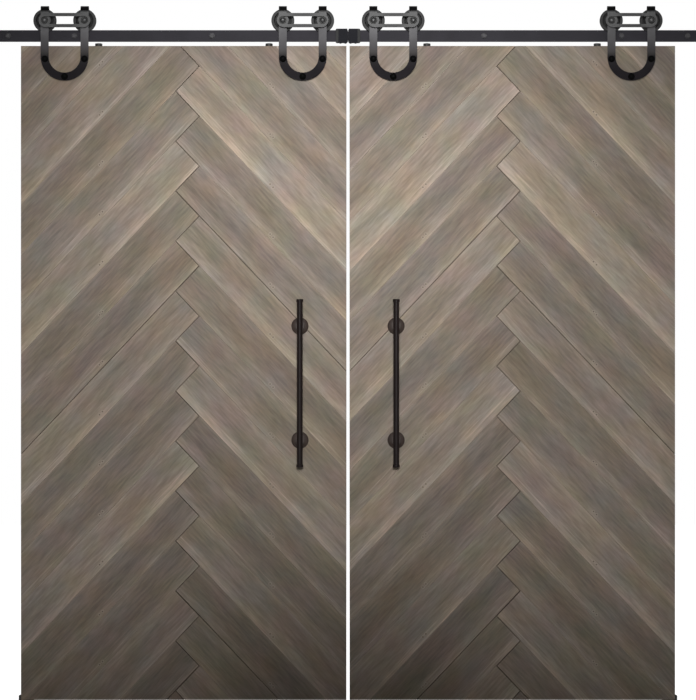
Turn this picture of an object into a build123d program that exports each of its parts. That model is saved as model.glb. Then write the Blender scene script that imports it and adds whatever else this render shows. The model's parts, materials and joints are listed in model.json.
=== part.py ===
from build123d import *

import os
from math import ceil, cos, radians, sin, sqrt, tan

# A pair of sliding barn doors that hang from one flat rail.
# X runs along the wall, Y points into the wall and Z points up, in millimetres.
# The origin is on the wall's face, at the rail's mid height, above the gap between the doors.
# Pieces are described for the right door. The left door is its mirror image.

# Door leaves
leaf_width = 1061.6
leaf_height = 2133.6
meeting_gap = 10.4
board_thickness = 28.0
plank_thickness = 12.0
rail_to_leaf = 14.3
leaf_to_floor = 12.0

# Herringbone planks
plank_width = 112.0
lay_angle = 46.6
zigzag_inset = 518.3
first_vertex_drop = 64.6
plank_joint = 0.4
end_joint = 1.8
open_joint = 1.4
open_inner_rows = (3, 11)
open_outer_rows = (4, 12)
plank_bevel = 0.6
smallest_offcut = 4.0
shortest_edge = 2.0

# Rail on its spacers
rail_height = 38.1
rail_thickness = 6.35
rail_joint_gap = 0.6
rail_edge = 0.8
standoff_length = 38.0
standoff_diameter = 20.0
lags_from_joint = (444.0, 893.0)
lags_from_end = (1024.6, 575.6, 126.6)
lag_diameter = 8.0
lag_shank_diameter = 7.2
lag_length = 88.9
lag_tip = 9.0
lag_head_height = 5.5
lag_head_flats = 13.0
lag_head_chamfer = 0.5
lag_point = 1.0
lag_washer_diameter = 18.0
lag_washer_thickness = 1.6
lag_hole_clearance = 0.5

# Plate behind the rail's joint
splice_length = 76.0
splice_thickness = 5.0
splice_screw_places = (11.0, 29.0)
splice_screw_diameter = 6.0
splice_screw_head = 11.2
splice_screw_cone = 2.6

# Stops on the rail
stop_gap = 3.6
stop_body_width = 29.4
bumper_width = 9.0
stop_wall = 4.0
stop_face_thickness = 9.0
stop_lip_height = 5.0
stop_lip_thickness = 3.0
stop_clearance = 0.2
stop_corner = 2.0
bumper_corner = 5.0
set_screw_diameter = 6.0
set_screw_length = 6.0
set_screw_spacing = 16.0

# Grooved wheels
wheel_diameter = 75.0
wheel_width = 20.0
rolling_radius = 31.0
tread_clearance = 0.3
groove_side_clearance = 0.9
groove_flare = 1.0
rim_width = 9.5
rim_chamfer = 1.2
hub_radius = 17.0
web_thickness = 9.0
dish_draft = 1.5
wheel_arm_gap = 2.0
hub_end_play = 0.4
bush_diameter = 16.0
running_clearance = 0.05

# Horseshoe hangers
hanger_inset = 142.5
arm_spacing = 130.0
strap_width = 26.0
strap_thickness = 6.0
fold_radius = 8.0
crown_height = 47.3
bend_centre_drop = 118.5
side_bolt_angle = 6.5
bolt_hole_clearance = 0.25

# Strap bolts and their sleeve nuts
strap_bolt_diameter = 8.0
strap_bolt_head = 22.0
strap_bolt_head_height = 6.5
sleeve_diameter = 11.0
sleeve_length = 22.0
sleeve_flange = 22.0
sleeve_flange_thickness = 2.5
sleeve_edge = 0.8
sleeve_end_gap = 3.0
hex_recess_flats = 6.0
hex_recess_depth = 1.5

# Link plates and axle hardware
link_length = 168.0
link_height = 46.5
link_bar = 10.5
link_thickness = 5.0
axle_diameter = 10.0
axle_head = 18.0
axle_head_height = 5.0
axle_flange = 24.0
axle_flange_thickness = 2.0
link_pad_diameter = 39.0
link_pad_thickness = 3.0
axle_nut_flats = 17.0
axle_nut_height = 8.0
axle_nut_chamfer = 1.2
axle_thread_beyond_nut = 2.0
thread_clearance = 0.03

# Anti-jump discs on the door's top edge
disc_inset = 252.5
disc_diameter = 24.0
disc_height = 10.0
disc_shoulder = 3.0
disc_behind_rail_centre = 8.0
disc_screw_diameter = 4.5
disc_screw_head = 9.0
disc_screw_length = 40.0

# Handles
handle_inset = 151.6
handle_centre_drop = 1099.6
handle_length = 547.0
handle_diameter = 18.5
handle_cap_diameter = 22.5
handle_cap_length = 9.0
handle_edge = 1.0
stanchion_spacing = 372.0
handle_projection = 45.0
rose_diameter = 56.0
rose_edge = 3.0
rose_crown = 7.0
rose_dome = 6.0
post_foot_diameter = 25.5
post_top_diameter = 30.0
post_waist_diameter = 21.0
handle_bolt_diameter = 6.0
handle_bolt_head = 12.0
handle_bolt_head_height = 4.0
handle_bolt_edge = 1.0
handle_bolt_grip = 8.0
saddle_clearance = 0.02

# Bottom groove and floor guides
groove_width = 8.0
groove_depth = 20.0
guide_fin_clearance = 0.6
guide_length = 50.0
guide_base_width = 40.0
guide_base_thickness = 4.0
guide_base_corner = 4.0
guide_engagement = 15.0
guide_fin_corner = 3.0
guide_screw_offset = 13.0
guide_screw_diameter = 5.0
guide_screw_shank = 4.4
guide_screw_head = 9.5
guide_screw_length = 38.0
guide_hole_clearance = 0.25

# What an open door leaves in front of the opening
open_overlap = 31.6
stop_contact_gap = 0.3

# How far a cutting shape runs past the piece it cuts
cut_margin = 1.0

# Depths, from the wall forwards
wall = 0.0
rail_back = wall - standoff_length
rail_front = rail_back - rail_thickness
wheel_plane = (rail_front + rail_back) / 2
arm_gap = wheel_width + 2 * wheel_arm_gap
strap_back = wheel_plane - arm_gap / 2
strap_front = strap_back - strap_thickness
rear_arm_front = wheel_plane + arm_gap / 2
rear_arm_back = rear_arm_front + strap_thickness
board_front = strap_back + plank_thickness
board_back = board_front + board_thickness
board_middle = (board_front + board_back) / 2
pad_front = strap_front - link_pad_thickness
link_front = pad_front - link_thickness

# Heights
rail_top = rail_height / 2
axle_height = rail_top + rolling_radius
bend_centre = axle_height - bend_centre_drop
leaf_top = -rail_height / 2 - rail_to_leaf
leaf_bottom = leaf_top - leaf_height
floor_height = leaf_bottom - leaf_to_floor

# Each half of the rail is as long as both doors' half of the opening is wide, twice over.
rail_bar_length = 2 * leaf_width + meeting_gap
lag_places = lags_from_joint + tuple(rail_bar_length - inset for inset in lags_from_end)
door_travel = leaf_width - open_overlap

# Places along the wall, for the right door
leaf_inner = meeting_gap / 2
leaf_outer = leaf_inner + leaf_width
hanger_places = (leaf_inner + hanger_inset, leaf_outer - hanger_inset)
wheel_places = [place + side * arm_spacing / 2 for place in hanger_places for side in (-1, 1)]
disc_places = (leaf_inner + disc_inset, leaf_outer - disc_inset)
handle_place = leaf_inner + handle_inset
handle_heights = [
    leaf_top - handle_centre_drop + side * stanchion_spacing / 2 for side in (-1, 1)
]
guide_place = (leaf_outer + leaf_inner + door_travel) / 2


def save(name, shapes):
    """Write the solids of some shapes as one named sub-part."""
    solids = [solid for shape in shapes for solid in shape.solids()]
    export_step(Compound(solids), f"parts/{name}.step")


def save_pair(name, shapes):
    """Write the right door's shapes, and their mirror image for the left door."""
    save(name.format("right"), shapes)
    save(name.format("left"), [mirror(shape, about=Plane.YZ) for shape in shapes])


def rod(radius, front, back):
    """A round bar along Y between two depths."""
    return Pos(0, (front + back) / 2, 0) * Rot(90, 0, 0) * Cylinder(radius, back - front)


def plate(outline, front, back):
    """A flat outline, drawn as seen from the front, made solid between two depths."""
    seen_from_front = Plane((0, back, 0), x_dir=(1, 0, 0), z_dir=(0, -1, 0))
    return extrude(seen_from_front * outline, back - front)


def turned(outline):
    """A piece turned about Y, from points of (radius, depth) or a ready face."""
    face = outline if isinstance(outline, Face) else make_face(Polyline(*outline, close=True))
    return revolve(face, Axis.Y)


def upright(points):
    """A piece turned about Z, from points of (radius, height)."""
    return Rot(90, 0, 0) * turned(points)


def hexagon(flats):
    """A hexagon with the given distance across its flats."""
    return RegularPolygon(flats / 2, 6, major_radius=False)


def dome_bolt(head_radius, head_height, seat, shank_radius, end):
    """A bolt with a domed head that sits on a face at the given depth."""
    crown = seat - head_height
    dome_radius = (head_radius**2 + head_height**2) / (2 * head_height)
    half_way = head_radius / 2
    half_depth = crown + dome_radius - sqrt(dome_radius**2 - half_way**2)
    outline = [
        ThreePointArc((0, crown), (half_way, half_depth), (head_radius, seat)),
        Polyline((head_radius, seat), (shank_radius, seat), (shank_radius, end), (0, end), (0, crown)),
    ]
    return turned(make_face(outline).face())


# Rail


def countersink_points(head_radius, shank_radius, cone, face, end):
    """The outline of a countersunk screw whose head lies flush with a face."""
    return [(0, face), (head_radius, face), (shank_radius, face + cone), (shank_radius, end), (0, end)]


splice_back = rail_back + splice_thickness


def rail_bar():
    """One half of the rail, with holes for the lag screws and the splice."""
    start = rail_joint_gap / 2
    length = rail_bar_length - start
    bar = Pos(start + length / 2, (rail_front + rail_back) / 2, 0) * Box(length, rail_thickness, rail_height)
    bar = chamfer(bar.edges().filter_by(Axis.X), rail_edge)
    lag_hole = rod(lag_diameter / 2 + lag_hole_clearance, rail_front, rail_back)
    for place in lag_places:
        bar -= Pos(place, 0, 0) * lag_hole
    sink = turned(
        countersink_points(
            splice_screw_head / 2 + thread_clearance,
            splice_screw_diameter / 2 + thread_clearance,
            splice_screw_cone,
            rail_front,
            rail_back,
        )
    )
    for place in splice_screw_places:
        bar -= Pos(place, 0, 0) * sink
    return bar


def splice_plate():
    """The plate that joins the two bars from behind, between the stops' lips."""
    height = rail_height - 2 * (stop_lip_height + stop_clearance)
    plate_box = Pos(0, (rail_back + splice_back) / 2, 0) * Box(splice_length, splice_thickness, height)
    hole = rod(splice_screw_diameter / 2 + thread_clearance, rail_back, splice_back)
    for place in splice_screw_places:
        for side in (-1, 1):
            plate_box -= Pos(side * place, 0, 0) * hole
    return plate_box


def splice_screws():
    """Four countersunk screws, flush with the rail's front."""
    points = countersink_points(
        splice_screw_head / 2, splice_screw_diameter / 2, splice_screw_cone, rail_front, splice_back
    )
    screw = turned(points)
    return [Pos(side * place, 0, 0) * screw for place in splice_screw_places for side in (-1, 1)]


def lag_screw():
    """A hex lag screw through washer, rail and spacer, whose thread starts at the wall."""
    seat = rail_front - lag_washer_thickness
    crown = seat - lag_head_height
    end = seat + lag_length
    head_corner = lag_head_flats / sqrt(3)
    head_shape = turned(
        [
            (0, crown),
            (lag_head_flats / 2 - lag_head_chamfer, crown),
            (head_corner, crown + 2 * lag_head_chamfer),
            (head_corner, seat),
            (0, seat),
        ]
    )
    head = plate(hexagon(lag_head_flats), crown, seat) & head_shape
    shank_radius = lag_shank_diameter / 2
    thread_radius = lag_diameter / 2
    shank = turned(
        [
            (0, seat),
            (shank_radius, seat),
            (shank_radius, wall),
            (thread_radius, wall),
            (thread_radius, end - lag_tip),
            (lag_point / 2, end),
            (0, end),
        ]
    )
    return head + shank


def ring(inner_radius, outer_radius, front, back):
    """A washer or tube along Y."""
    return turned([(inner_radius, front), (outer_radius, front), (outer_radius, back), (inner_radius, back)])


def along_rail(shape):
    """Copies of a piece at every lag screw, on both bars."""
    return [Pos(side * place, 0, 0) * shape for side in (-1, 1) for place in lag_places]


# Stops


stop_front = rail_front - stop_face_thickness
stop_back = rail_back + stop_clearance + stop_lip_thickness
channel_half = rail_height / 2 + stop_clearance
stop_half_height = channel_half + stop_wall
stop_width = bumper_width + stop_body_width


def stop_section():
    """The stop's C shape, which wraps the rail from the front."""
    depth = stop_back - stop_front
    outer = Pos((stop_front + stop_back) / 2, 0) * Rectangle(depth, 2 * stop_half_height)
    channel_front = rail_front - stop_clearance
    channel_back = rail_back + stop_clearance
    channel = Pos((channel_front + channel_back) / 2, 0) * Rectangle(
        channel_back - channel_front, 2 * channel_half
    )
    mouth_half = rail_height / 2 - stop_lip_height
    mouth = Pos((channel_back + stop_back) / 2, 0) * Rectangle(2 * stop_lip_thickness, 2 * mouth_half)
    return outer - channel - mouth


def stop_piece(start, end, front_outline):
    """A stretch of the stop's section, trimmed to an outline seen from the front."""
    length = extrude(Plane.YZ.offset(start) * stop_section(), end - start)
    return length & plate(front_outline, stop_front - cut_margin, stop_back + cut_margin)


def stop_outline(start, end, cut_start, cut_end):
    """A rectangle whose corners are cut by different amounts at its two ends."""
    top = stop_half_height
    points = [
        (start + cut_start, top),
        (end - cut_end, top),
        (end, top - cut_end),
        (end, -top + cut_end),
        (end - cut_end, -top),
        (start + cut_start, -top),
        (start, -top + cut_start),
        (start, top - cut_start),
    ]
    distinct = [point for index, point in enumerate(points) if point != points[index - 1]]
    return make_face(Polyline(*distinct, close=True))


def bumper():
    """The rubber pad on the stop's end that faces the wheels, at x from 0 up."""
    reach = 2 * bumper_width
    rounded = Pos(bumper_width, 0) * RectangleRounded(reach, 2 * stop_half_height, bumper_corner)
    return stop_piece(0, bumper_width, rounded)


def set_screw_x():
    """Where the two set screws sit along the stop."""
    middle = bumper_width + stop_body_width / 2
    return [middle + side * set_screw_spacing / 2 for side in (-1, 1)]


def upright_rod(radius, bottom, top):
    """A round bar along Z in the rail's middle plane."""
    return Pos(0, wheel_plane, (bottom + top) / 2) * Cylinder(radius, top - bottom)


def stop_body():
    """The steel part of the stop behind its bumper, with its tapped holes underneath."""
    body = stop_piece(bumper_width, stop_width, stop_outline(bumper_width, stop_width, 0, stop_corner))
    radius = set_screw_diameter / 2 + thread_clearance
    hole = upright_rod(radius, -stop_half_height - cut_margin, -channel_half + cut_margin)
    for place in set_screw_x():
        body -= Pos(place, 0, 0) * hole
    return body


def set_screws():
    """The two grub screws that press up on the rail's lower edge."""
    bottom = -rail_height / 2 - set_screw_length
    screw = upright_rod(set_screw_diameter / 2, bottom, -rail_height / 2)
    return [Pos(place, 0, 0) * screw for place in set_screw_x()]


# The wheel's flange meets the bumper's rounded upper corner.
corner_drop = axle_height - stop_half_height + bumper_corner
flange_reach = sqrt((wheel_diameter / 2 + bumper_corner) ** 2 - corner_drop**2) - bumper_corner
end_stop_place = wheel_places[-1] + door_travel + flange_reach + stop_contact_gap
centre_stop_place = stop_gap / 2 + stop_width


def centre_and_end(shape):
    """A stop's piece at the right centre stop, which faces outwards, and at the right end stop."""
    return (
        Pos(centre_stop_place, 0, 0) * mirror(shape, about=Plane.YZ),
        Pos(end_stop_place, 0, 0) * shape,
    )


def both_sides(shapes):
    """Shapes of the right half with their mirror images."""
    return [copy for shape in shapes for copy in (shape, mirror(shape, about=Plane.YZ))]


# Wheels


def wheel():
    """A grooved wheel with dished faces, turned about its axle."""
    flange_half = wheel_width / 2
    tread_half = rail_thickness / 2 + groove_side_clearance
    hub_half = arm_gap / 2 - hub_end_play
    radius = wheel_diameter / 2
    rim_inner = radius - rim_width
    half = [
        (bush_diameter / 2 + running_clearance, hub_half),
        (hub_radius, hub_half),
        (hub_radius + dish_draft, web_thickness / 2),
        (rim_inner - dish_draft, web_thickness / 2),
        (rim_inner, flange_half),
        (radius - rim_chamfer, flange_half),
        (radius, flange_half - rim_chamfer),
        (radius, tread_half + groove_flare),
        (rolling_radius - tread_clearance, tread_half),
    ]
    points = half + [(r, -y) for r, y in reversed(half)]
    return Pos(0, wheel_plane, axle_height) * turned(points)


# Hangers, drawn about their own middle


def hanger_arms(place):
    """The two arm places of a hanger."""
    return [place + side * arm_spacing / 2 for side in (-1, 1)]


def strap_bolt_places(place):
    """The three bolts of a U: one low on each side and one at the bottom."""
    bend_radius = arm_spacing / 2
    angles = (180 + side_bolt_angle, 270, 360 - side_bolt_angle)
    return [
        (place + bend_radius * cos(radians(a)), bend_centre + bend_radius * sin(radians(a))) for a in angles
    ]


def strap():
    """One flat bar: a U on the door's face, whose arms bend over the wheels and down behind them."""
    fold_outer_radius = fold_radius + strap_thickness
    crown = axle_height + crown_height
    fold_height = crown - fold_outer_radius
    outer = arm_spacing / 2 + strap_width / 2
    u_ring = Pos(0, bend_centre) * (Circle(outer) - Circle(outer - strap_width))
    u_half = u_ring & (Pos(0, bend_centre - outer) * Rectangle(2 * outer, 2 * outer))
    arm_length = fold_height - bend_centre
    front_arm = Pos(0, bend_centre + arm_length / 2) * Rectangle(strap_width, arm_length)
    face = u_half
    for arm in hanger_arms(0):
        face += Pos(arm, 0) * front_arm
    piece = plate(face, strap_front, strap_back)
    loop_depth = arm_gap + 2 * strap_thickness
    loop_inner = RectangleRounded(arm_gap, loop_depth - 2 * strap_thickness, fold_radius)
    loop = RectangleRounded(loop_depth, loop_depth, fold_outer_radius) - loop_inner
    above_fold = Pos(0, loop_depth / 2) * Rectangle(loop_depth, 2 * fold_outer_radius)
    fold_face = Pos(wheel_plane, crown - loop_depth / 2) * (loop & above_fold)
    fold = extrude(Plane.YZ.offset(-strap_width / 2) * fold_face, strap_width)
    rear_length = fold_height - axle_height
    rear_face = Pos(0, axle_height + rear_length / 2) * Rectangle(strap_width, rear_length)
    rear_face += Pos(0, axle_height) * Circle(strap_width / 2)
    rear_arm = plate(rear_face, rear_arm_front, rear_arm_back)
    axle_hole = Pos(0, 0, axle_height) * rod(
        axle_diameter / 2 + bolt_hole_clearance, strap_front - cut_margin, rear_arm_back + cut_margin
    )
    for arm in hanger_arms(0):
        piece += Pos(arm, 0, 0) * fold
        piece += Pos(arm, 0, 0) * rear_arm
        piece -= Pos(arm, 0, 0) * axle_hole
    bolt_hole = rod(strap_bolt_diameter / 2 + bolt_hole_clearance, strap_front, strap_back)
    for x, z in strap_bolt_places(0):
        piece -= Pos(x, 0, z) * bolt_hole
    return piece


def link_plate():
    """The slotted plate that ties the two axles, with a round pad welded behind each end for the bolt."""
    slot_height = link_height - 2 * link_bar
    outline = SlotOverall(link_length, link_height) - SlotOverall(arm_spacing + slot_height, slot_height)
    piece = plate(Pos(0, axle_height) * outline, link_front, pad_front)
    pad = ring(axle_diameter / 2 + bolt_hole_clearance, link_pad_diameter / 2, pad_front, strap_front)
    for arm in hanger_arms(0):
        piece += Pos(arm, 0, axle_height) * pad
    return piece


def axle_bolt():
    """A flanged dome-head bolt in the link plate's slot, which clamps the pad and carries one wheel."""
    flange_front = pad_front - axle_flange_thickness
    end = rear_arm_back + axle_nut_height + axle_thread_beyond_nut
    bolt = dome_bolt(axle_head / 2, axle_head_height, flange_front, axle_diameter / 2, end)
    flange = rod(axle_flange / 2, flange_front, pad_front)
    return Pos(0, 0, axle_height) * (bolt + flange)


def axle_nut():
    """A hex nut behind the rear arm."""
    back = rear_arm_back + axle_nut_height
    corner = axle_nut_flats / sqrt(3)
    flat = axle_nut_flats / 2
    bore = axle_diameter / 2 + thread_clearance
    shape = turned(
        [
            (bore, rear_arm_back),
            (corner, rear_arm_back),
            (corner, back - axle_nut_chamfer),
            (flat - axle_nut_chamfer, back),
            (bore, back),
        ]
    )
    nut = plate(hexagon(axle_nut_flats), rear_arm_back, back) & shape
    return Pos(0, 0, axle_height) * nut


def at_wheels(shape):
    """Copies of a piece at every wheel of the right door."""
    return [Pos(place, 0, 0) * shape for place in wheel_places]


def all_strap_bolt_places():
    """Every strap bolt of the right door."""
    return [spot for place in hanger_places for spot in strap_bolt_places(place)]


def sleeve_nut():
    """A sleeve nut pushed in from the door's back, with a hex recess in its flange."""
    start = board_back - sleeve_length
    back = board_back + sleeve_flange_thickness
    bore = strap_bolt_diameter / 2 + thread_clearance
    sleeve = sleeve_diameter / 2
    flange = sleeve_flange / 2
    nut = turned(
        [
            (bore, start),
            (sleeve, start),
            (sleeve, board_back),
            (flange, board_back),
            (flange, back - sleeve_edge),
            (flange - sleeve_edge, back),
            (0, back),
            (0, board_back - sleeve_end_gap / 2),
            (bore, board_back - sleeve_end_gap / 2),
        ]
    )
    return nut - plate(hexagon(hex_recess_flats), back - hex_recess_depth, back)


# Door leaf


def kept_side(points, anchor, normal, limit):
    """The part of a convex outline within a limit of an anchor, measured along a normal."""
    reach = [(x - anchor[0]) * normal[0] + (z - anchor[1]) * normal[1] - limit for x, z in points]
    kept = []
    for index, (x, z) in enumerate(points):
        last_x, last_z = points[index - 1]
        last_reach = reach[index - 1]
        if (last_reach <= 0) != (reach[index] <= 0):
            share = last_reach / (last_reach - reach[index])
            kept.append((last_x + share * (x - last_x), last_z + share * (z - last_z)))
        if reach[index] <= 0:
            kept.append((x, z))
    return kept


def without_short_edges(points):
    """An outline without the corners that lie too near the corner before them."""
    kept = []
    for index, (x, z) in enumerate(points):
        last_x, last_z = points[index - 1]
        if sqrt((x - last_x) ** 2 + (z - last_z) ** 2) > shortest_edge:
            kept.append((x, z))
    return kept


def inradius_floor(points):
    """The area of an outline over its perimeter, which its inscribed circle never falls below."""
    area = 0.0
    perimeter = 0.0
    for index, (x, z) in enumerate(points):
        last_x, last_z = points[index - 1]
        area += (last_x * z - x * last_z) / 2
        perimeter += sqrt((x - last_x) ** 2 + (z - last_z) ** 2)
    return abs(area) / perimeter


def plank_outlines(inner, open_rows):
    """The outlines of the planks on one side of the zigzag, trimmed to the leaf."""
    c = cos(radians(lay_angle))
    s = sin(radians(lay_angle))
    row_height = plank_width / c
    half_swing = row_height / tan(radians(lay_angle)) / 4
    along = -half_swing if inner else half_swing
    start_drop = first_vertex_drop if inner else first_vertex_drop + row_height / 2
    side_normal = (-s, c) if inner else (s, c)
    end_normal = (s, c) if inner else (-s, c)
    back_normal = (-side_normal[0], -side_normal[1])
    leaf = [
        (leaf_inner, leaf_top),
        (leaf_outer, leaf_top),
        (leaf_outer, leaf_bottom),
        (leaf_inner, leaf_bottom),
    ]
    rows_above = ceil(leaf_width * tan(radians(lay_angle)) / row_height) + 1
    rows_below = ceil(leaf_height / row_height) + 1
    outlines = []
    for row in range(-rows_above, rows_below):
        upper = (leaf_inner + zigzag_inset + along, leaf_top - start_drop - row * row_height)
        lower = (upper[0], upper[1] - row_height)
        upper_joint = open_joint if row in open_rows else plank_joint
        lower_joint = open_joint if row + 1 in open_rows else plank_joint
        points = kept_side(leaf, upper, side_normal, -upper_joint / 2)
        points = kept_side(points, lower, back_normal, -lower_joint / 2)
        points = kept_side(points, upper, end_normal, plank_joint / 2 - end_joint)
        points = without_short_edges(points)
        if len(points) > 2 and inradius_floor(points) > smallest_offcut / 2:
            outlines.append(points)
    return outlines


def plank(points):
    """One plank with its front edges eased."""
    solid = plate(make_face(Polyline(*points, close=True)), strap_back, board_front)
    front_edges = solid.faces().sort_by(Axis.Y)[0].edges()
    return chamfer(front_edges, min(plank_bevel, inradius_floor(points) / 2))


def door_holes(radius, places, front, back):
    """Drillings through the leaf."""
    return [Pos(x, 0, z) * rod(radius, front, back) for x, z in places]


def handle_bolt_places():
    """Where the handle's bolts pass through the leaf."""
    return [(handle_place, height) for height in handle_heights]


def plank_holes():
    """The drillings through the planks, as wide as the strap and handle bolts need."""
    strap_radius = strap_bolt_diameter / 2 + bolt_hole_clearance
    handle_radius = handle_bolt_diameter / 2 + bolt_hole_clearance
    front = strap_back - cut_margin
    back = board_front + cut_margin
    holes = door_holes(strap_radius, all_strap_bolt_places(), front, back)
    return holes + door_holes(handle_radius, handle_bolt_places(), front, back)


def planks(inner, open_rows):
    """All planks on one side of the zigzag, drilled for the bolts."""
    holes = plank_holes()
    solids = []
    for points in plank_outlines(inner, open_rows):
        solid = plank(points)
        for hole in holes:
            if solid.bounding_box().overlaps(hole.bounding_box()):
                solid -= hole
        solids.append(solid)
    return solids


def board():
    """The backing board with its bottom groove and drillings."""
    middle_x = (leaf_inner + leaf_outer) / 2
    middle_z = (leaf_top + leaf_bottom) / 2
    slab = Pos(middle_x, board_middle, middle_z) * Box(leaf_width, board_thickness, leaf_height)
    groove = Pos(middle_x, board_middle, leaf_bottom) * Box(
        leaf_width + 2 * cut_margin, groove_width, 2 * groove_depth
    )
    slab -= groove
    sleeve_hole = sleeve_diameter / 2 + bolt_hole_clearance
    handle_hole = handle_bolt_diameter / 2 + bolt_hole_clearance
    front = board_front - cut_margin
    back = board_back + cut_margin
    holes = door_holes(sleeve_hole, all_strap_bolt_places(), front, back)
    holes += door_holes(handle_hole, handle_bolt_places(), front, back)
    for hole in holes:
        slab -= hole
    pilot_radius = disc_screw_diameter / 2 + thread_clearance
    pilot_depth = disc_screw_length - disc_height
    for place in disc_places:
        slab -= Pos(place, disc_depth, leaf_top - pilot_depth / 2) * Cylinder(pilot_radius, pilot_depth)
    return slab


# Anti-jump discs


disc_depth = wheel_plane + disc_behind_rail_centre


def anti_jump_disc():
    """A nylon disc with a rounded shoulder and a countersunk hole."""
    radius = disc_diameter / 2
    hole = disc_screw_diameter / 2 + thread_clearance
    head = disc_screw_head / 2 + thread_clearance
    top = disc_height
    arc_middle = disc_shoulder * (1 - sqrt(0.5))
    outline = [
        Polyline((hole, 0), (radius, 0), (radius, top - disc_shoulder)),
        ThreePointArc(
            (radius, top - disc_shoulder),
            (radius - arc_middle, top - arc_middle),
            (radius - disc_shoulder, top),
        ),
        Polyline((radius - disc_shoulder, top), (head, top), (hole, top - (head - hole)), (hole, 0)),
    ]
    return Rot(90, 0, 0) * turned(make_face(outline).face())


def disc_screw():
    """The screw that holds the disc down into the board."""
    head = disc_screw_head / 2
    shank = disc_screw_diameter / 2
    top = disc_height
    bottom = top - disc_screw_length
    return upright([(0, top), (head, top), (shank, top - (head - shank)), (shank, bottom), (0, bottom)])


def at_discs(shape):
    """Copies of a piece at both anti-jump discs."""
    return [Pos(place, disc_depth, leaf_top) * shape for place in disc_places]


# Handle


bar_depth = strap_back - handle_projection
handle_bolt_end = bar_depth + handle_diameter / 2 - handle_bolt_grip


def handle_bar():
    """A round bar with a slightly thicker cap turned on each end."""
    half_length = handle_length / 2
    bar = handle_diameter / 2
    cap = handle_cap_diameter / 2
    half = [
        (bar, half_length - handle_cap_length - handle_edge),
        (cap, half_length - handle_cap_length),
        (cap, half_length - handle_edge),
        (cap - handle_edge, half_length),
        (0, half_length),
    ]
    points = half + [(r, -z) for r, z in reversed(half)]
    middle = sum(handle_heights) / 2
    piece = Pos(handle_place, bar_depth, middle) * upright(points)
    for x, z in handle_bolt_places():
        piece -= Pos(x, 0, z) * rod(handle_bolt_diameter / 2 + thread_clearance, handle_bolt_end, strap_back)
    return piece


def stanchion():
    """A round rose and waisted post in one casting, saddled to the bar."""
    bore = handle_bolt_diameter / 2 + bolt_hole_clearance
    rose = rose_diameter / 2
    foot = post_foot_diameter / 2
    waist = post_waist_diameter / 2
    top = post_top_diameter / 2
    door = strap_back
    middle = door - (rose_crown + handle_projection) / 2
    outline = [
        Polyline((bore, door), (rose, door), (rose, door - rose_edge)),
        ThreePointArc(
            (rose, door - rose_edge),
            ((rose + foot) / 2, door - rose_dome),
            (foot, door - rose_crown),
        ),
        ThreePointArc((foot, door - rose_crown), (waist, middle), (top, bar_depth)),
        Polyline((top, bar_depth), (bore, bar_depth), (bore, door)),
    ]
    piece = turned(make_face(outline).face())
    seat = Pos(0, bar_depth, 0) * Cylinder(handle_diameter / 2 + saddle_clearance, 2 * rose_diameter)
    return piece - seat


def handle_bolt():
    """A bolt from the door's back, through the post into the bar."""
    head_back = board_back + handle_bolt_head_height
    head = handle_bolt_head / 2
    shank = handle_bolt_diameter / 2
    return turned(
        [
            (0, handle_bolt_end),
            (shank, handle_bolt_end),
            (shank, board_back),
            (head, board_back),
            (head, head_back - handle_bolt_edge),
            (head - handle_bolt_edge, head_back),
            (0, head_back),
        ]
    )


def at_handle(shape):
    """Copies of a piece at the handle's two posts."""
    return [Pos(x, 0, z) * shape for x, z in handle_bolt_places()]


# Floor guides


fin_thickness = groove_width - 2 * guide_fin_clearance


def floor_guide():
    """A T-shaped guide screwed to the floor, whose fin runs in the door's groove."""
    base_top = floor_height + guide_base_thickness
    base = Pos(0, board_middle, (floor_height + base_top) / 2) * Box(
        guide_length, guide_base_width, guide_base_thickness
    )
    base = fillet(base.edges().filter_by(Axis.Z), guide_base_corner)
    fin_top = leaf_bottom + guide_engagement
    half = guide_length / 2
    fin_outline = make_face(
        Polyline(
            (-half, base_top),
            (half, base_top),
            (half, fin_top - guide_fin_corner),
            (half - guide_fin_corner, fin_top),
            (-half + guide_fin_corner, fin_top),
            (-half, fin_top - guide_fin_corner),
            close=True,
        )
    )
    fin = plate(fin_outline, board_middle - fin_thickness / 2, board_middle + fin_thickness / 2)
    guide = base + fin
    for side in (-1, 1):
        guide -= guide_hole_at(side)
    return guide


def guide_screw_at(side):
    """A countersunk floor screw beside the fin, whose thread starts at the floor."""
    head = guide_screw_head / 2
    shank = guide_screw_shank / 2
    thread = guide_screw_diameter / 2
    top = floor_height + guide_base_thickness
    points = [
        (0, top),
        (head, top),
        (shank, top - (head - shank)),
        (shank, floor_height),
        (thread, floor_height),
        (thread, top - guide_screw_length),
        (0, top - guide_screw_length),
    ]
    return Pos(0, board_middle + side * guide_screw_offset, 0) * upright(points)


def guide_hole_at(side):
    """The countersunk hole of a floor screw, wide enough for its thread to pass."""
    head = guide_screw_head / 2 + thread_clearance
    bore = guide_screw_diameter / 2 + guide_hole_clearance
    top = floor_height + guide_base_thickness
    points = [
        (0, top),
        (head, top),
        (bore, top - (head - bore)),
        (bore, floor_height),
        (0, floor_height),
    ]
    return Pos(0, board_middle + side * guide_screw_offset, 0) * upright(points)


os.makedirs("parts", exist_ok=True)

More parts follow.
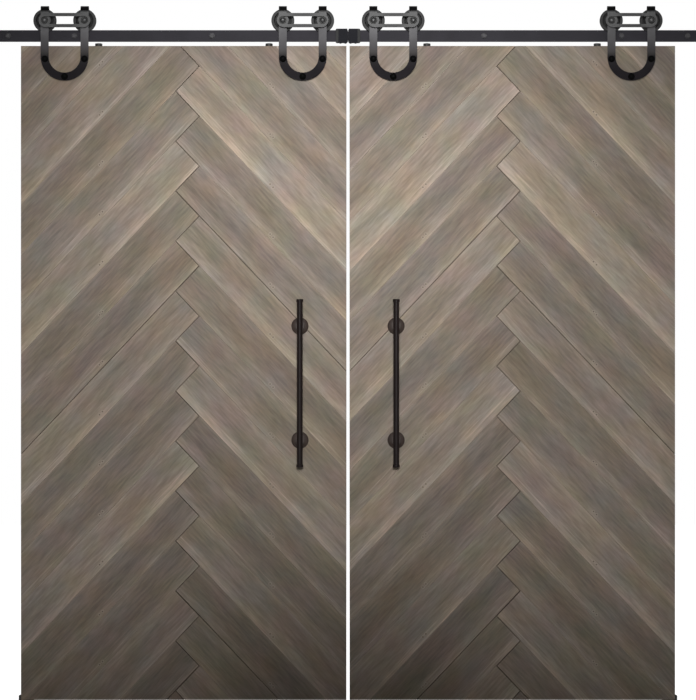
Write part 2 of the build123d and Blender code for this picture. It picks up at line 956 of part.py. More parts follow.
# Fixed pieces on the wall
save_pair("rail_{}", [rail_bar()])
save("rail_splice_plate", [splice_plate()])
save("splice_screws", splice_screws())
standoff = ring(lag_diameter / 2 + lag_hole_clearance, standoff_diameter / 2, rail_back, wall)
save("rail_standoffs", along_rail(standoff))
save("lag_screws", along_rail(lag_screw()))
lag_washer_front = rail_front - lag_washer_thickness
lag_washer = ring(
    lag_diameter / 2 + bolt_hole_clearance, lag_washer_diameter / 2, lag_washer_front, rail_front
)
save("lag_washers", along_rail(lag_washer))
centre_body, end_body = centre_and_end(stop_body())
save_pair("centre_stop_{}", [centre_body])
save_pair("end_stop_{}", [end_body])
save("stop_bumpers", both_sides(centre_and_end(bumper())))
stop_screws = [copy for screw in set_screws() for copy in centre_and_end(screw)]
save("stop_set_screws", both_sides(stop_screws))

# Fixed pieces on the floor
guide_at_place = Pos(guide_place, 0, 0)
save_pair("floor_guide_{}", [guide_at_place * floor_guide()])
save("floor_guide_screws", both_sides([guide_at_place * guide_screw_at(side) for side in (-1, 1)]))

# Door leaves
save_pair("board_{}", [board()])
save_pair("planks_{}_inner", planks(True, open_inner_rows))
save_pair("planks_{}_outer", planks(False, open_outer_rows))

# Hangers
hanger_strap = strap()
hanger_link = link_plate()
for label, place in zip(("inner", "outer"), hanger_places):
    save_pair("strap_{}_" + label, [Pos(place, 0, 0) * hanger_strap])
    save_pair("link_plate_{}_" + label, [Pos(place, 0, 0) * hanger_link])
save_pair("axle_bolts_{}", at_wheels(axle_bolt()))
axle_bush = ring(axle_diameter / 2 + running_clearance, bush_diameter / 2, strap_back, rear_arm_front)
save_pair("axle_bushes_{}", at_wheels(Pos(0, 0, axle_height) * axle_bush))
save_pair("axle_nuts_{}", at_wheels(axle_nut()))
strap_bolt = dome_bolt(
    strap_bolt_head / 2,
    strap_bolt_head_height,
    strap_front,
    strap_bolt_diameter / 2,
    board_back - sleeve_end_gap,
)
save_pair("strap_bolts_{}", [Pos(x, 0, z) * strap_bolt for x, z in all_strap_bolt_places()])
save_pair("strap_nuts_{}", [Pos(x, 0, z) * sleeve_nut() for x, z in all_strap_bolt_places()])

# Wheels, numbered from the centre outwards
one_wheel = wheel()
for number, place in enumerate(wheel_places, start=1):
    save_pair("wheel_{}_" + str(number), [Pos(place, 0, 0) * one_wheel])

# Anti-jump discs
save_pair("anti_jump_discs_{}", at_discs(anti_jump_disc()))
save_pair("anti_jump_screws_{}", at_discs(disc_screw()))

# Handles
save_pair("handle_bar_{}", [handle_bar()])
save_pair("handle_stanchions_{}", at_handle(stanchion()))
save_pair("handle_bolts_{}", at_handle(handle_bolt()))
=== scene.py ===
"""A pair of herringbone barn doors on a flat-bar rail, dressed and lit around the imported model."""

import json
import math

import bpy
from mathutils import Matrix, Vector


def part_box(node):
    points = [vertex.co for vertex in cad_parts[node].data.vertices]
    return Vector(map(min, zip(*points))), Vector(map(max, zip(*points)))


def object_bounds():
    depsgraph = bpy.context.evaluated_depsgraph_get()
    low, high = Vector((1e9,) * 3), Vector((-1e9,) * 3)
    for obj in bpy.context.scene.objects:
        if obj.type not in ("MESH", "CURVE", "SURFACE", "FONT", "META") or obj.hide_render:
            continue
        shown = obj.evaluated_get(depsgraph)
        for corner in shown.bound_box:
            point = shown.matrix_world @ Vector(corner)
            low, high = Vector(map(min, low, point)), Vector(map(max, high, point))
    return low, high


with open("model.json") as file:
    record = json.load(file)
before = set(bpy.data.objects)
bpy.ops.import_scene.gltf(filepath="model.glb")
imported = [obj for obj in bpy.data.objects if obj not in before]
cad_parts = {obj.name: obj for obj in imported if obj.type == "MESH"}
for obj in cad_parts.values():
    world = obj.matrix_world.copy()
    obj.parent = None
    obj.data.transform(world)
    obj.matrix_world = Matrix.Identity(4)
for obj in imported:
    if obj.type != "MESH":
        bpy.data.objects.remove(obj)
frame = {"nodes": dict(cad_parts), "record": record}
cad_low, cad_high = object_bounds()

# Sizes and places, in metres, in the row frame: x to the right, y away from the viewer, z up
front_of_doors = -0.0532
camera_distance = 13.0
view_height = 2.2834
view_centre_z = -1.0251
sensor_millimetres = 36.0

# The herringbone, as the planks are laid
leaf_top = -0.03335
lay_angle = math.radians(46.6)
plank_width = 0.112
row_height = 0.163
zigzag_x = 0.5235
zigzag_half_swing = 0.0385
first_joint_drop = 0.0646
bright_row_inner = 0
bright_row_outer = 1
open_rows_inner = (3, 11)
open_rows_outer = (4, 12)

# Nail marks stand in one upright line on each side of the zigzag, near the planks' lower edges
nail_line_inner = 0.2492
nail_line_outer = 0.8057
nail_across = 0.87
nail_spacing = 0.014
nail_hole = 0.0022
nail_halo = 0.0070

# Tones of six planks that repeat down the door, as shares of the middle tone
plank_tones = (1.185, 0.907, 0.907, 1.073, 0.88, 0.936)

# Tone across a plank, from its upper edge at 0 to its lower edge at 1
tones_across = (
    (0.0, 1.156),
    (0.05, 1.028),
    (0.35, 0.912),
    (0.65, 0.948),
    (0.80, 1.102),
    (0.92, 1.232),
    (1.0, 1.274),
)

# Linear colours of the wood
wood_middle = (0.342, 0.283, 0.227)
# The nail holes' dark, also painted as shade on the cut ends and the open joints
hole_and_seam_shade_brown = (0.070, 0.048, 0.034)
# A pale tone: the nail halos' own, and on the bevels partly wear and partly painted light
pale_mark_and_bevel_light = (0.56, 0.47, 0.385)
board_dark = (0.20, 0.155, 0.115)
board_middle = (0.275, 0.222, 0.172)
board_light = (0.33, 0.27, 0.21)
board_grain = (0.13, 0.10, 0.075)

# Each plank takes its grain from its own place, up to this many metres along the noise
grain_shift = 40.0
grain_seed = 3.7

# Layers of the wood's noise: how far each is squeezed along and across the plank
streak_squeeze = (1.0, 10.0)
grain_squeeze = (34.0, 380.0)
broad_squeeze = (1.0, 3.0)
stain_squeeze = (1.0, 1.5)
brush_squeeze = (17.0, 150.0)
pale_squeeze = (2.2, 190.0)

# How far two of them are squeezed in depth, and the depths at which the others lie
streak_depth_squeeze = 8.0
grain_depth_squeeze = 90.0
broad_depth = 2.0
stain_depth = 0.0
brush_depth = 5.0
pale_depth = 9.0
blue_stain_offset = (7.3, 1.9, 4.1)

# Each layer's noise: its scale, its detail and, where it isn't the usual one, its roughness
streak_noise = (5.6, 5.0, 0.62)
grain_noise = (1.0, 3.0, 0.6)
broad_noise = (3.2, 1.0)
stain_noise = (7.0, 3.0)
brush_noise = (1.0, 2.0, 0.5)
pale_noise = (1.0, 1.0)
board_streak_noise = (2.4, 5.0, 0.6)
board_grain_noise = (1.0, 2.0)

# How far each layer moves the tone
streak_spread = 0.14
grain_spread = 0.045
broad_spread = 0.08
brush_spread = 0.15
pale_spread = 0.30
warm_spread = 0.08
blue_spread = 0.085

# How much of its own colour each mark on the wood has; the lighter bevels are partly wear and partly
# painted light, the darker cut ends and open joints painted shade
halo_share = 0.5
hole_share = 0.75
bevel_light_share = 0.8
cut_end_shade_share = 0.62
open_joint_shade_share = 0.75
board_grain_share = 0.18

# The wood's specular levels
plank_specular = 0.12
board_specular = 0.3

# Fine relief of the surfaces, and the radii that soften edges for wear and light, in metres
plank_relief = 0.0005
board_relief = 0.0004
paint_relief = 0.00012
metal_relief = 0.00005
plastic_relief = 0.0001
paint_edge_radius = 0.0008
metal_edge_radius = 0.0004

# The surroundings: white for these rays, and this dim as light on the object
seen_rays = ("Is Camera Ray", "Is Glossy Ray", "Is Transmission Ray")
world_light = 0.03

# The floor: its two greys, and its glow for the same rays, from near the doors to further out
floor_half = 14.0
floor_dark = (0.38, 0.38, 0.376)
floor_light = (0.44, 0.44, 0.436)
floor_glow = (0.83, 0.99)
floor_glow_reach = (3.0, 8.0)

# Spot lamps of the right side, each with a twin on the left: place, target, watts, and half the
# cone's angle in radians
spot_lamps = {
    "level": ((0.25, -5.0, -0.4), (0.75, front_of_doors, -1.05), 412.0, 0.258),
    "high": ((0.4, -5.0, 2.0), (0.16, front_of_doors, 0.15), 480.0, 0.23),
    "wide": ((1.95, -4.8, 1.6), (1.85, front_of_doors, -0.55), 270.0, 0.22),
}
spot_radius = 0.4
back_lamp_place = (1.8, 2.8, 3.6)
back_lamp_target = (0.6, 0.0, -1.4)
back_lamp_watts = 150.0
back_lamp_size = 1.6


def linear(red, green, blue):
    """A colour written in the usual 0 to 255 values, as linear light."""
    values = []
    for value in (red, green, blue):
        share = value / 255
        if share <= 0.04045:
            values.append(share / 12.92)
        else:
            values.append(((share + 0.055) / 1.055) ** 2.4)
    return tuple(values)


def grey(value):
    """A neutral colour of one 0 to 255 value, as linear light."""
    return linear(value, value, value)


class Shade:
    """A material's nodes, with short calls for the ones that are used most."""

    def __init__(self, name):
        self.material = bpy.data.materials.new(name)
        self.material.use_nodes = True
        self.nodes = self.material.node_tree.nodes
        self.links = self.material.node_tree.links
        self.shader = self.nodes["Principled BSDF"]
        self.place = self.add("ShaderNodeTexCoord").outputs["Object"]
        self.x, self.y, self.z = self.split(self.place)

    def add(self, kind, **settings):
        node = self.nodes.new(kind)
        for key, value in settings.items():
            setattr(node, key, value)
        return node

    def put(self, socket, value):
        """Links a socket to an input, or sets the input to a plain value."""
        if isinstance(value, bpy.types.NodeSocket):
            self.links.new(value, socket)
        else:
            socket.default_value = value

    def put_colour(self, socket, colour):
        """Links a socket to a colour input, or sets it to a plain colour."""
        self.put(socket, (*colour, 1.0) if isinstance(colour, tuple) else colour)

    def math(self, operation, first, second=0.0, third=0.0):
        node = self.add("ShaderNodeMath", operation=operation)
        for socket, value in zip(node.inputs, (first, second, third)):
            self.put(socket, value)
        return node.outputs[0]

    def plus(self, first, second):
        return self.math("ADD", first, second)

    def minus(self, first, second):
        return self.math("SUBTRACT", first, second)

    def times(self, first, *others):
        """All values multiplied."""
        product = first
        for value in others:
            product = self.math("MULTIPLY", product, value)
        return product

    def vector_math(self, operation, first, second=(0.0, 0.0, 0.0)):
        node = self.add("ShaderNodeVectorMath", operation=operation)
        self.put(node.inputs[0], first)
        self.put(node.inputs[1], second)
        output = "Value" if operation in ("DOT_PRODUCT", "LENGTH") else "Vector"
        return node.outputs[output]

    def combine(self, x, y, z):
        node = self.add("ShaderNodeCombineXYZ")
        for socket, value in zip(node.inputs, (x, y, z)):
            self.put(socket, value)
        return node.outputs[0]

    def split(self, vector):
        node = self.add("ShaderNodeSeparateXYZ")
        self.put(node.inputs[0], vector)
        return node.outputs

    def squeezed(self, x, y, z):
        """The object's place, with each axis scaled."""
        return self.vector_math("MULTIPLY", self.place, (x, y, z))

    def span(self, first, second):
        """Length of a line from its two square sides."""
        return self.vector_math("LENGTH", self.combine(first, second, 0.0))

    def noise(self, vector, scale, detail=3.0, roughness=0.55):
        node = self.add("ShaderNodeTexNoise")
        self.put(node.inputs["Vector"], vector)
        node.inputs["Scale"].default_value = scale
        node.inputs["Detail"].default_value = detail
        node.inputs["Roughness"].default_value = roughness
        return node.outputs[0]

    def white(self, vector):
        """One value between 0 and 1 for each place."""
        node = self.add("ShaderNodeTexWhiteNoise", noise_dimensions="3D")
        self.put(node.inputs["Vector"], vector)
        return node.outputs["Value"]

    def ramp(self, value, stops, interpolation="LINEAR"):
        """A value through stops of (position, grey level or colour)."""
        node = self.add("ShaderNodeValToRGB")
        node.color_ramp.interpolation = interpolation
        elements = node.color_ramp.elements
        while len(elements) < len(stops):
            elements.new(0.5)
        for element, (position, colour) in zip(elements, stops):
            element.position = position
            level = colour if isinstance(colour, tuple) else (colour,) * 3
            element.color = (*level, 1.0)
        self.put(node.inputs[0], value)
        return node.outputs[0]

    def share_ramp(self, value, stops, interpolation="LINEAR"):
        """A ramp of shares up to 2, halved on the way because a ramp's levels end at 1."""
        halves = [(position, share / 2) for position, share in stops]
        return self.times(self.ramp(value, halves, interpolation), 2.0)

    def mix(self, share, first, second, blend="MIX"):
        """Two colours mixed by share, with the usual blend modes."""
        node = self.add("ShaderNodeMix", data_type="RGBA", blend_type=blend)
        self.put(node.inputs[0], share)
        for socket, colour in zip(node.inputs[6:8], (first, second)):
            self.put_colour(socket, colour)
        return node.outputs[2]

    def tint(self, colour, share):
        """A colour made lighter or darker."""
        return self.mix(1.0, colour, self.combine(share, share, share), "MULTIPLY")

    def range(self, value, low, high, to_low=0.0, to_high=1.0):
        node = self.add("ShaderNodeMapRange")
        for socket, entry in zip(node.inputs, (value, low, high, to_low, to_high)):
            self.put(socket, entry)
        return node.outputs[0]

    def between(self, noise, low, high, reach=0.2):
        """A noise, whose values lie mostly within reach of a half, spread from low to high."""
        return self.range(noise, 0.5 - reach, 0.5 + reach, low, high)

    def vary(self, noise, spread, reach=0.2):
        """A noise turned into shares around 1."""
        return self.between(noise, 1.0 - spread, 1.0 + spread, reach)

    def bump(self, height, distance, strength=1.0, normal=None):
        node = self.add("ShaderNodeBump")
        node.inputs["Strength"].default_value = strength
        node.inputs["Distance"].default_value = distance
        self.put(node.inputs["Height"], height)
        if normal is not None:
            self.put(node.inputs["Normal"], normal)
        return node.outputs[0]

    def bevel(self, radius):
        node = self.add("ShaderNodeBevel", samples=4)
        node.inputs["Radius"].default_value = radius
        return node.outputs[0]

    def face_normal(self):
        return self.add("ShaderNodeNewGeometry").outputs["True Normal"]

    def finish(self, colour, roughness, metallic=0.0, specular=0.5, normal=None):
        self.put_colour(self.shader.inputs["Base Color"], colour)
        self.put(self.shader.inputs["Roughness"], roughness)
        self.shader.inputs["Metallic"].default_value = metallic
        self.shader.inputs["Specular IOR Level"].default_value = specular
        if normal is not None:
            self.put(self.shader.inputs["Normal"], normal)
        return self.material


def plank_slope(rising):
    """Cosine and sine of the planks' direction, away from the doors' meeting line."""
    sine = math.sin(lay_angle)
    return math.cos(lay_angle), sine if rising else -sine


def plank_places(shade, rising):
    """Distance from the meeting line, place along a plank, share across it and row number."""
    cosine, sine = plank_slope(rising)
    anchor_x = zigzag_x - zigzag_half_swing if rising else zigzag_x + zigzag_half_swing
    anchor_z = leaf_top - first_joint_drop - (0 if rising else row_height / 2)
    anchor_rise = anchor_z * cosine - anchor_x * sine
    side = shade.math("ABSOLUTE", shade.x)
    flat = shade.combine(side, 0.0, shade.z)
    along = shade.vector_math("DOT_PRODUCT", flat, (cosine, 0.0, sine))
    rise = shade.vector_math("DOT_PRODUCT", flat, (-sine, 0.0, cosine))
    rows = shade.math("DIVIDE", shade.minus(anchor_rise, rise), plank_width)
    row = shade.math("FLOOR", rows)
    return side, along, shade.minus(rows, row), row


def layer_place(shade, along, depth, across, squeeze):
    """A place in one layer of the wood's noise."""
    along_squeeze, across_squeeze = squeeze
    return shade.combine(
        shade.times(along, along_squeeze),
        depth,
        shade.times(across, plank_width * across_squeeze),
    )


def plank_wood(name, rising):
    """Weathered planks: repeating tones, a light lower edge, grain, nail marks, bevels painted lighter
    as wear and light, painted shade at cut ends and open joints.
    """
    shade = Shade(name)
    side, along, across, row = plank_places(shade, rising)
    chance = shade.white(shade.combine(row, shade.math("SIGN", shade.x), grain_seed))
    own_along = shade.plus(along, shade.times(chance, grain_shift))
    streak_depth = shade.times(shade.y, streak_depth_squeeze)
    grain_depth = shade.times(shade.y, grain_depth_squeeze)
    streak_place = layer_place(shade, own_along, streak_depth, across, streak_squeeze)
    grain_place = layer_place(shade, own_along, grain_depth, across, grain_squeeze)
    broad_place = layer_place(shade, own_along, broad_depth, across, broad_squeeze)
    streaks = shade.noise(streak_place, *streak_noise)
    grain = shade.noise(grain_place, *grain_noise)
    broad = shade.noise(broad_place, *broad_noise)
    level = shade.times(
        row_tone(shade, row, rising),
        shade.share_ramp(across, tones_across),
        shade.vary(streaks, streak_spread),
        shade.vary(grain, grain_spread, 0.25),
        shade.vary(broad, broad_spread, 0.17),
        brushed_lines(shade, own_along, across),
    )
    colour = shade.mix(1.0, wood_middle, stain_tint(shade, own_along, across), "MULTIPLY")
    colour = shade.tint(colour, level)
    nail_line = nail_line_inner if rising else nail_line_outer
    pale_halo, dark_hole = nail_marks(shade, side, across, nail_line, rising)
    colour = shade.mix(shade.times(pale_halo, halo_share), colour, pale_mark_and_bevel_light)
    colour = shade.mix(shade.times(dark_hole, hole_share), colour, hole_and_seam_shade_brown)
    end_grain = cut_ends(shade, rising)
    eased = shade.times(eased_edges(shade), shade.minus(1.0, end_grain))
    open_joint = open_joints(shade, across, row, open_rows_inner if rising else open_rows_outer)
    # The bevels are painted lighter, partly as wear and partly as painted light that offsets their shade
    bevel_light = shade.times(eased, shade.minus(1.0, open_joint), bevel_light_share)
    colour = shade.mix(bevel_light, colour, pale_mark_and_bevel_light)
    # Painted shade on the cut ends along the zigzag and on the bevels of the open joints
    cut_end_shade = shade.times(end_grain, cut_end_shade_share)
    open_joint_shade = shade.times(eased, open_joint, open_joint_shade_share)
    colour = shade.mix(shade.plus(cut_end_shade, open_joint_shade), colour, hole_and_seam_shade_brown)
    height = shade.plus(shade.times(grain, 0.6), shade.times(streaks, 0.8))
    normal = shade.bump(shade.minus(height, dark_hole), plank_relief, 0.6)
    rough = shade.between(streaks, 0.62, 0.78)
    return shade.finish(colour, rough, specular=plank_specular, normal=normal)


def row_tone(shade, row, rising):
    """The tone of a row's planks, as a share of the middle tone."""
    start = bright_row_inner if rising else bright_row_outer
    turn = shade.math("FLOORED_MODULO", shade.minus(row, start), len(plank_tones))
    step = shade.math("DIVIDE", shade.plus(turn, 0.5), len(plank_tones))
    stops = [(index / len(plank_tones), tone) for index, tone in enumerate(plank_tones)]
    return shade.share_ramp(step, stops, "CONSTANT")


def stain_tint(shade, along, across):
    """Soft blotches of warmer, greener and bluer stain, about as wide as they are long."""
    place = layer_place(shade, along, stain_depth, across, stain_squeeze)
    other_place = shade.vector_math("ADD", place, blue_stain_offset)
    warm = shade.vary(shade.noise(place, *stain_noise), warm_spread, 0.17)
    blue = shade.vary(shade.noise(other_place, *stain_noise), blue_spread, 0.17)
    return shade.combine(warm, 1.0, blue)


def brushed_lines(shade, along, across):
    """Fine lines along the grain, and a few thin pale ones in the light band by the lower edge."""
    brush_place = layer_place(shade, along, brush_depth, across, brush_squeeze)
    pale_place = layer_place(shade, along, pale_depth, across, pale_squeeze)
    lines = shade.noise(brush_place, *brush_noise)
    pale = shade.noise(pale_place, *pale_noise)
    near_edge = shade.ramp(across, [(0.60, 0.0), (0.82, 1.0), (0.98, 0.8)])
    pale_share = shade.times(shade.range(pale, 0.58, 0.70), near_edge, pale_spread)
    return shade.times(shade.vary(lines, brush_spread), shade.plus(1.0, pale_share))


def cut_ends(shade, rising):
    """One where a face looks along the plank, on its cut ends and their bevels, and zero elsewhere."""
    cosine, sine = plank_slope(rising)
    normal = shade.split(shade.face_normal())
    outward = shade.times(normal[0], shade.math("SIGN", shade.x))
    along_plank = shade.plus(shade.times(outward, cosine), shade.times(normal[2], sine))
    return shade.range(shade.math("ABSOLUTE", along_plank), 0.40, 0.45)


def eased_edges(shade):
    """One on the planks' small front bevels, which look half sideways, and zero elsewhere."""
    facing = shade.split(shade.face_normal())[1]
    return shade.math("COMPARE", shade.math("ABSOLUTE", facing), math.sqrt(0.5), 0.15)


def open_joints(shade, across, row, open_rows):
    """One by the joints that stand open, whose bevels get painted shade, and zero by the tight ones."""
    joint = shade.plus(row, shade.math("ROUND", across))
    first, second = [shade.math("COMPARE", joint, float(number), 0.1) for number in open_rows]
    return shade.plus(first, second)


def nail_marks(shade, side, across, line, rising):
    """Pale halos and dark holes: two nails side by side where the nail line crosses each plank."""
    cosine, sine = plank_slope(rising)
    off_line = shade.minus(side, line)
    off_edge = shade.times(shade.minus(nail_across, across), plank_width)
    slant = shade.plus(off_line, shade.times(off_edge, sine))
    off_middle = shade.math("ABSOLUTE", shade.math("DIVIDE", slant, cosine))
    off_nail = shade.span(shade.minus(off_middle, nail_spacing / 2), off_edge)
    pale_halo = shade.range(off_nail, nail_halo * 0.5, nail_halo, 1.0, 0.0)
    dark_hole = shade.range(off_nail, nail_hole * 0.4, nail_hole * 1.6, 1.0, 0.0)
    return pale_halo, dark_hole


def board_wood():
    """The backing board: planed softwood, plain and a little darker than the planks."""
    shade = Shade("board_wood")
    streaks = shade.noise(shade.squeezed(9.0, 9.0, 0.7), *board_streak_noise)
    fine = shade.noise(shade.squeezed(420.0, 420.0, 16.0), *board_grain_noise)
    colour = shade.ramp(streaks, [(0.25, board_dark), (0.5, board_middle), (0.75, board_light)])
    colour = shade.mix(shade.between(fine, 0.0, board_grain_share), colour, board_grain)
    normal = shade.bump(shade.plus(fine, streaks), board_relief, 0.5)
    rough = shade.between(fine, 0.6, 0.8)
    return shade.finish(colour, rough, specular=board_specular, normal=normal)


def worn_and_highlit_edges(shade, soft_normal):
    """A broken line of wear and painted highlight where the rounded normal leaves the face's own."""
    own_normal = shade.add("ShaderNodeNewGeometry").outputs["Normal"]
    agree = shade.vector_math("DOT_PRODUCT", soft_normal, own_normal)
    edges = shade.range(agree, 0.80, 0.98, 0.8, 0.0)
    return shade.times(edges, shade.range(shade.noise(shade.place, 160.0, 2.0), 0.35, 0.6))


def powder_paint(name, colour, roughness, specular, edge_wear_and_highlight=1.7):
    """Fine-textured paint, its edges painted lighter as wear and as a painted highlight, in one colour
    or in a blend of tones.
    """
    shade = Shade(name)
    base = colour(shade) if callable(colour) else colour
    base = shade.tint(base, shade.vary(shade.noise(shade.place, 14.0), 0.16))
    soft_normal = shade.bevel(paint_edge_radius)
    # Edges painted lighter, partly as wear and partly as a painted highlight
    base = shade.mix(worn_and_highlit_edges(shade, soft_normal), base, shade.tint(base, edge_wear_and_highlight))
    speck = shade.noise(shade.place, 900.0, 2.0)
    rough = shade.between(speck, roughness - 0.06, roughness + 0.06)
    normal = shade.bump(speck, paint_relief, 0.5, soft_normal)
    return shade.finish(base, rough, specular=specular, normal=normal)


def bare_metal(name, colour, roughness):
    """Plated or bronze metal with faint turning marks, in one colour or in a blend of tones."""
    shade = Shade(name)
    base = colour(shade) if callable(colour) else colour
    base = shade.tint(base, shade.between(shade.noise(shade.place, 60.0), 0.75, 1.0, 0.15))
    fine = shade.noise(shade.squeezed(600.0, 600.0, 2400.0), 1.0, 2.0)
    rough = shade.between(fine, roughness - 0.08, roughness + 0.08)
    normal = shade.bump(fine, metal_relief, 0.5, shade.bevel(metal_edge_radius))
    return shade.finish(base, rough, metallic=1.0, normal=normal)


def soft_plastic(name, colour, roughness):
    """Moulded rubber or nylon: matt, with a fine grain."""
    shade = Shade(name)
    light = tuple(value * 1.3 for value in colour)
    base = shade.mix(shade.between(shade.noise(shade.place, 40.0, 2.0), 0.0, 1.0), colour, light)
    grain = shade.noise(shade.place, 1400.0, 2.0)
    rough = shade.between(grain, roughness - 0.08, roughness + 0.06)
    return shade.finish(base, rough, specular=0.4, normal=shade.bump(grain, plastic_relief, 0.6))


# The wheels' axles, which stand mirrored on both doors
axle_places = sorted(sum(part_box(f"wheel_right_{number}"), Vector()).x / 2 for number in range(1, 5))
axle_height = sum(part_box("wheel_right_1"), Vector()).z / 2

# Painted light and shade down a strap: the folds painted black as shade, the arms painted grey, lighter
# near the top and darker towards the U as the light falls off
strap_shading_tones = (
    (-0.110, (40, 37, 40)),
    (-0.068, (50, 48, 49)),
    (-0.052, (86, 83, 82)),
    (-0.038, (94, 92, 94)),
    (0.015, (121, 120, 122)),
    (0.076, (124, 124, 124)),
    (0.083, (6, 6, 6)),
    (0.098, (3, 3, 3)),
)

# Tones round an axle, and the radii at which they change; the link plates' tones are painted light and
# shade, and the bolts' centre tone a painted highlight
wheel_dish_radius = 0.0275
wheel_dish_colour = grey(9)
wheel_rim_colour = grey(57)
# Link plates: painted light round the bolts and painted shade at the middle of their bars
link_end_radius = 0.022
link_middle_radius = 0.045
link_lit_end_colour = grey(102)
link_shaded_middle_colour = grey(73)
# A painted highlight at the middle of each axle bolt's dome
bolt_highlight_radius = 0.003
bolt_head_radius = 0.0093
bolt_highlight_colour = grey(86)
bolt_head_colour = grey(68)
bolt_flange_colour = linear(44, 44, 43)

# Widths over which those tones run into each other
dish_blend = 0.003
highlight_blend = 0.0015
flange_blend = 0.0008


def axle_distance(shade):
    """Distance from the nearest axle, seen from the front."""
    side = shade.math("ABSOLUTE", shade.x)
    offsets = [shade.math("ABSOLUTE", shade.minus(side, place)) for place in axle_places]
    nearest = offsets[0]
    for offset in offsets[1:]:
        nearest = shade.math("MINIMUM", nearest, offset)
    return shade.span(nearest, shade.minus(shade.z, axle_height))


def strap_painted_shading(shade):
    """The straps' painted light and shade by height."""
    low = strap_shading_tones[0][0]
    high = strap_shading_tones[-1][0]
    stops = [((height - low) / (high - low), linear(*colour)) for height, colour in strap_shading_tones]
    return shade.ramp(shade.range(shade.z, low, high), stops)


def wheel_blend(shade):
    """Wheels: a grey turned rim round a black dish."""
    share = shade.range(axle_distance(shade), wheel_dish_radius, wheel_dish_radius + dish_blend)
    return shade.mix(share, wheel_dish_colour, wheel_rim_colour)


def link_painted_shading(shade):
    """Link plates: painted light and shade, lighter round the bolts than at the middle of their bars."""
    share = shade.range(axle_distance(shade), link_end_radius, link_middle_radius)
    return shade.mix(share, link_lit_end_colour, link_shaded_middle_colour)


def axle_bolt_highlight_blend(shade):
    """Axle bolts: a painted highlight at the middle of the dome, and a darker flange round it."""
    distance = axle_distance(shade)
    off_highlight = shade.range(distance, bolt_highlight_radius, bolt_highlight_radius + highlight_blend)
    off_head = shade.range(distance, bolt_head_radius, bolt_head_radius + flange_blend)
    head = shade.mix(off_highlight, bolt_highlight_colour, bolt_head_colour)
    return shade.mix(off_head, head, bolt_flange_colour)


# Finishes by the record's slots: colour and roughness, and for paints also the specular level and,
# where it isn't the usual one, how much lighter the edges are painted, as wear and as a painted
# highlight
paints = {
    "rail_paint": (linear(46, 44, 50), 0.5, 0.12),
    # The straps' tones by height are painted light and shade
    "strap_paint": (strap_painted_shading, 0.7, 0.04),
    "link_paint": (link_painted_shading, 0.42, 0.2),
    "wheel_paint": (wheel_blend, 0.4, 0.15),
    "stop_paint": (linear(23, 23, 29), 0.5, 0.08),
    "guide_paint": (grey(40), 0.5, 0.35),
    "black_screws": (linear(50, 48, 52), 0.35, 0.3),
    "bolt_black": (grey(6), 0.45, 0.03, 1.2),
    "handle_paint": (linear(22, 12, 11), 0.36, 0.11),
    "stanchion_paint": (linear(57, 46, 41), 0.45, 0.16),
}
metals = {
    "axle_steel": (axle_bolt_highlight_blend, 0.42),
    "zinc_steel": (linear(190, 190, 192), 0.3),
    "bush_bronze": (linear(196, 158, 104), 0.36),
}
plastics = {
    "bumper_rubber": (grey(26), 0.7),
    "disc_nylon": (linear(30, 30, 29), 0.45),
}


def make_finishes():
    """A material for each of the record's slots, and one for each lay of the planks."""
    finishes = {"board_wood": board_wood()}
    for make, settings in ((powder_paint, paints), (bare_metal, metals), (soft_plastic, plastics)):
        for slot, values in settings.items():
            finishes[slot] = make(slot, *values)
    finishes["inner"] = plank_wood("plank_wood_inner", True)
    finishes["outer"] = plank_wood("plank_wood_outer", False)
    return finishes


def dress_nodes():
    """Gives every material slot of each CAD node its finish."""
    finishes = make_finishes()
    for part in frame["record"]["subparts"]:
        node = part["node"]
        key = node.split("_")[-1] if node.startswith("planks") else part["material_slot"]
        for slot in frame["nodes"][node].material_slots:
            slot.material = finishes[key]


def aim(obj, target):
    """Turns a lamp or camera to look at a point."""
    direction = Vector(target) - obj.location
    obj.rotation_euler = direction.to_track_quat("-Z", "Y").to_euler()


def add_camera():
    """The photograph's view: straight at the doors, over the middle of the picture's height."""
    data = bpy.data.cameras.new("camera")
    data.sensor_width = sensor_millimetres
    data.lens = sensor_millimetres * camera_distance / view_height
    data.clip_start = 0.1
    data.clip_end = 200.0
    camera = bpy.data.objects.new("camera", data)
    camera.location = (0.0, front_of_doors - camera_distance, view_centre_z)
    bpy.context.scene.collection.objects.link(camera)
    aim(camera, (0.0, front_of_doors, view_centre_z))
    bpy.context.scene.camera = camera


def add_floor():
    """A plain pale floor that keeps the object's shadow and glows to white further out."""
    mesh = bpy.data.meshes.new("floor")
    corners = [(-1, -1), (1, -1), (1, 1), (-1, 1)]
    points = [(x * floor_half, y * floor_half, cad_low.z) for x, y in corners]
    mesh.from_pydata(points, [], [(0, 1, 2, 3)])
    floor = bpy.data.objects.new("floor", mesh)
    bpy.context.scene.collection.objects.link(floor)
    shade = Shade("floor_pale")
    colour = shade.mix(shade.noise(shade.place, 3.0), floor_dark, floor_light)
    shade.finish(colour, 0.8, specular=0.2)
    rays = shade.add("ShaderNodeLightPath").outputs
    seen = rays[seen_rays[0]]
    for kind in seen_rays[1:]:
        seen = shade.math("MAXIMUM", seen, rays[kind])
    glow = shade.range(shade.vector_math("LENGTH", shade.place), *floor_glow_reach, *floor_glow)
    shade.put(shade.shader.inputs["Emission Color"], (1.0, 1.0, 1.0, 1.0))
    shade.put(shade.shader.inputs["Emission Strength"], shade.times(seen, glow))
    mesh.materials.append(shade.material)


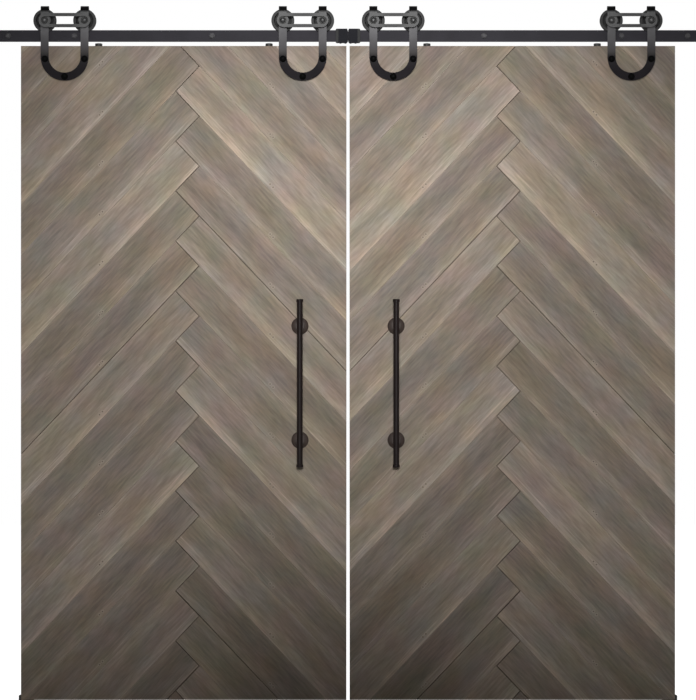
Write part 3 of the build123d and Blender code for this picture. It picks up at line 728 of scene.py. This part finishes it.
def add_world():
    """White where the camera or a reflection looks past the object, and hardly any light on it."""
    world = bpy.data.worlds.new("world")
    world.use_nodes = True
    nodes = world.node_tree.nodes
    links = world.node_tree.links
    nodes.clear()
    rays = nodes.new("ShaderNodeLightPath").outputs
    seen = rays[seen_rays[0]]
    for kind in seen_rays[1:]:
        either = nodes.new("ShaderNodeMath")
        either.operation = "MAXIMUM"
        links.new(seen, either.inputs[0])
        links.new(rays[kind], either.inputs[1])
        seen = either.outputs[0]
    choose = nodes.new("ShaderNodeMixShader")
    links.new(seen, choose.inputs[0])
    for index, strength in ((1, world_light), (2, 1.0)):
        background = nodes.new("ShaderNodeBackground")
        background.inputs["Color"].default_value = (1.0, 1.0, 1.0, 1.0)
        background.inputs["Strength"].default_value = strength
        links.new(background.outputs[0], choose.inputs[index])
    out = nodes.new("ShaderNodeOutputWorld")
    links.new(choose.outputs[0], out.inputs["Surface"])
    bpy.context.scene.world = world


def add_lamp(name, kind, place, target, power, **settings):
    """A lamp with its settings, aimed at a point."""
    data = bpy.data.lights.new(name, kind)
    data.energy = power
    for key, value in settings.items():
        setattr(data, key, value)
    lamp = bpy.data.objects.new(name, data)
    lamp.location = place
    bpy.context.scene.collection.objects.link(lamp)
    aim(lamp, target)


def add_spot(name, place, target, power, half_angle):
    """A spot lamp with a wholly soft rim."""
    cone = {"spot_size": 2 * half_angle, "spot_blend": 1.0}
    add_lamp(name, "SPOT", place, target, power, shadow_soft_size=spot_radius, **cone)


def mirrored(point, side):
    """A place of the right side, or its twin where side is -1."""
    x, y, z = point
    return (side * x, y, z)


def add_lamps():
    """Soft lamps in mirrored pairs: level on the leaves, high and wide on the rail, and behind."""
    for side_name, side in (("left", -1), ("right", 1)):
        for name, (place, target, power, half_angle) in spot_lamps.items():
            ends = (mirrored(place, side), mirrored(target, side))
            add_spot(f"{name}_{side_name}", *ends, power, half_angle)
        ends = (mirrored(back_lamp_place, side), mirrored(back_lamp_target, side))
        add_lamp(f"back_{side_name}", "AREA", *ends, back_lamp_watts, size=back_lamp_size)


dress_nodes()
add_camera()
add_floor()
add_world()
add_lamps()
bpy.context.scene.view_settings.view_transform = "Standard"
